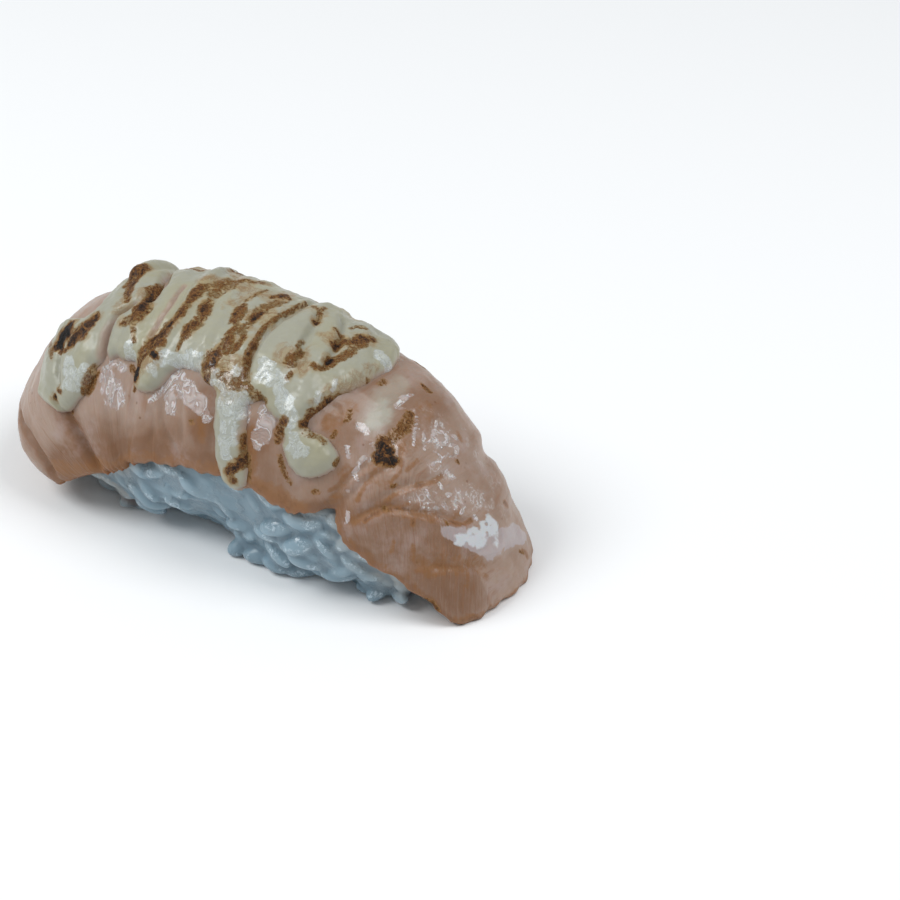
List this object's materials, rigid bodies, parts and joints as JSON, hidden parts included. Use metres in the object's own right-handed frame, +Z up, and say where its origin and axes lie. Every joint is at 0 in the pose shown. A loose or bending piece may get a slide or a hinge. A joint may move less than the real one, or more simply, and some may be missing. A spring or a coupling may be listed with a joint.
{
  "type": "torched salmon nigiri",
  "caption": "Pressed oval of sushi rice under an arched, lightly torched slice of salmon, with browned mayonnaise squeezed across the top in touching lines.",
  "frame": {"origin": "on the surface that the rice rests on, under the middle of the piece's outline", "axes": "+X along the piece towards the slice's pointed end, +Y across it towards the back, +Z up"},
  "size_m": [0.0772, 0.0317, 0.0341],
  "materials": {
    "rice": "moist, slightly translucent cooked grains",
    "salmon": "moist torched flesh, satin with oily patches",
    "mayonnaise": "set cream sauce with brown and black torch marks"
  },
  "bodies": {
    "root": {"rice_block": "rice", "salmon_slice": "salmon", "mayonnaise": "mayonnaise"}
  },
  "joints": []
}
